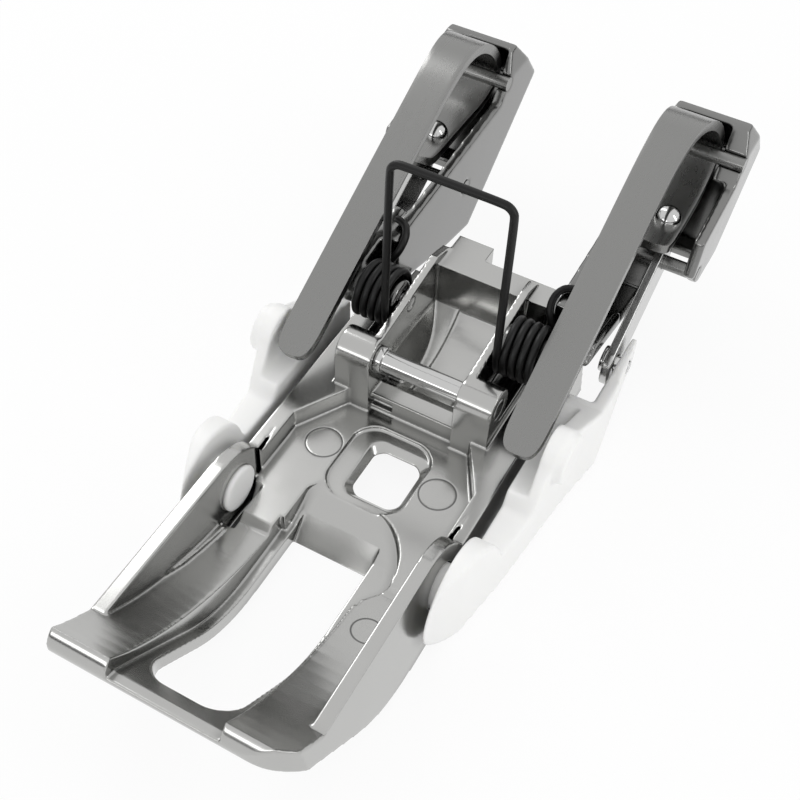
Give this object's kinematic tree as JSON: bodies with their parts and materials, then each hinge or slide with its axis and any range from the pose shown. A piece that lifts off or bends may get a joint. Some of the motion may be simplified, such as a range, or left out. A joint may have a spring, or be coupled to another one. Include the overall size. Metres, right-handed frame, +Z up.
{
  "type": "sewing machine presser foot",
  "caption": "Clip-on even-feed presser foot with ski toes, spring bail, rocking side arms and toothed nylon feed shoes.",
  "frame": {"origin": "on the underside of the sole, on the centre line, straight below the snap pin", "axes": "+X to the sewer's right, +Y to the rear of the machine, +Z up"},
  "size_m": [0.0338, 0.0782, 0.0285],
  "materials": {
    "plated_body": "satin nickel plating over a casting",
    "plated_arm": "satin nickel plating over a casting",
    "satin_lever": "satin stainless sheet",
    "bright_link": "bright steel sheet",
    "polished_pin": "polished steel pin",
    "black_wire": "blackened spring wire",
    "white_nylon": "natural white nylon"
  },
  "bodies": {
    "base": {"sole": "plated_body", "snap_pin": "polished_pin", "pivot_pin_right": "polished_pin", "pivot_pin_left": "polished_pin"},
    "bail": {"bail_spring": "black_wire"},
    "arm_right": {"arm_right": "plated_arm", "lever_pin_right": "polished_pin", "link_top_pin_right": "polished_pin"},
    "lever_right": {"lever_right": "satin_lever", "guide_stud_right": "polished_pin"},
    "link_right": {"drive_link_right": "bright_link"},
    "shoe_right": {"shoe_right": "white_nylon", "link_low_pin_right": "polished_pin"},
    "arm_left": {"arm_left": "plated_arm", "lever_pin_left": "polished_pin", "link_top_pin_left": "polished_pin"},
    "lever_left": {"lever_left": "satin_lever", "guide_stud_left": "polished_pin"},
    "link_left": {"drive_link_left": "bright_link"},
    "shoe_left": {"shoe_left": "white_nylon", "link_low_pin_left": "polished_pin"}
  },
  "joints": [
    {"name": "bail_swing", "type": "hinge", "parent": "base", "child": "bail", "pos_m": [0, 0.0059, 0.0106], "axis": [1, 0, 0], "range_deg": [-8, 4], "stiffness_Nm_per_rad": 0.02, "deforming": ["bail_spring"]},
    {"name": "arm_right_rock", "type": "hinge", "parent": "base", "child": "arm_right", "pos_m": [0, 0.0059, 0.0106], "axis": [1, 0, 0], "range_deg": [-1, 5], "stiffness_Nm_per_rad": 0.06, "springref_deg": 1.15, "deforming": ["bail_spring"]},
    {"name": "lever_right_lift", "type": "hinge", "parent": "arm_right", "child": "lever_right", "pos_m": [0, 0.0329, 0.0166], "axis": [1, 0, 0], "range_deg": [-6, 0]},
    {"name": "link_right_swing", "type": "hinge", "parent": "arm_right", "child": "link_right", "pos_m": [0, 0.0244, 0.0094], "axis": [1, 0, 0], "range_deg": [-5.9, 1.2]},
    {"name": "shoe_right_swing", "type": "hinge", "parent": "base", "child": "shoe_right", "pos_m": [0, -0.0159, 0.0049], "axis": [1, 0, 0], "range_deg": [-0.7, 3.4]},
    {"name": "arm_left_rock", "type": "hinge", "parent": "base", "child": "arm_left", "pos_m": [0, 0.0059, 0.0106], "axis": [1, 0, 0], "range_deg": [-1, 5], "stiffness_Nm_per_rad": 0.06, "springref_deg": 1.15, "deforming": ["bail_spring"]},
    {"name": "lever_left_lift", "type": "hinge", "parent": "arm_left", "child": "lever_left", "pos_m": [0, 0.0329, 0.0166], "axis": [1, 0, 0], "range_deg": [-6, 0]},
    {"name": "link_left_swing", "type": "hinge", "parent": "arm_left", "child": "link_left", "pos_m": [0, 0.0244, 0.0094], "axis": [1, 0, 0], "range_deg": [-5.9, 1.2]},
    {"name": "shoe_left_swing", "type": "hinge", "parent": "base", "child": "shoe_left", "pos_m": [0, -0.0159, 0.0049], "axis": [1, 0, 0], "range_deg": [-0.7, 3.4]}
  ],
  "couplings": [
    {"joint": "link_right_swing", "follows": "arm_right_rock", "ratio": -1.165},
    {"joint": "shoe_right_swing", "follows": "arm_right_rock", "ratio": 0.665},
    {"joint": "link_left_swing", "follows": "arm_left_rock", "ratio": -1.165},
    {"joint": "shoe_left_swing", "follows": "arm_left_rock", "ratio": 0.665}
  ]
}
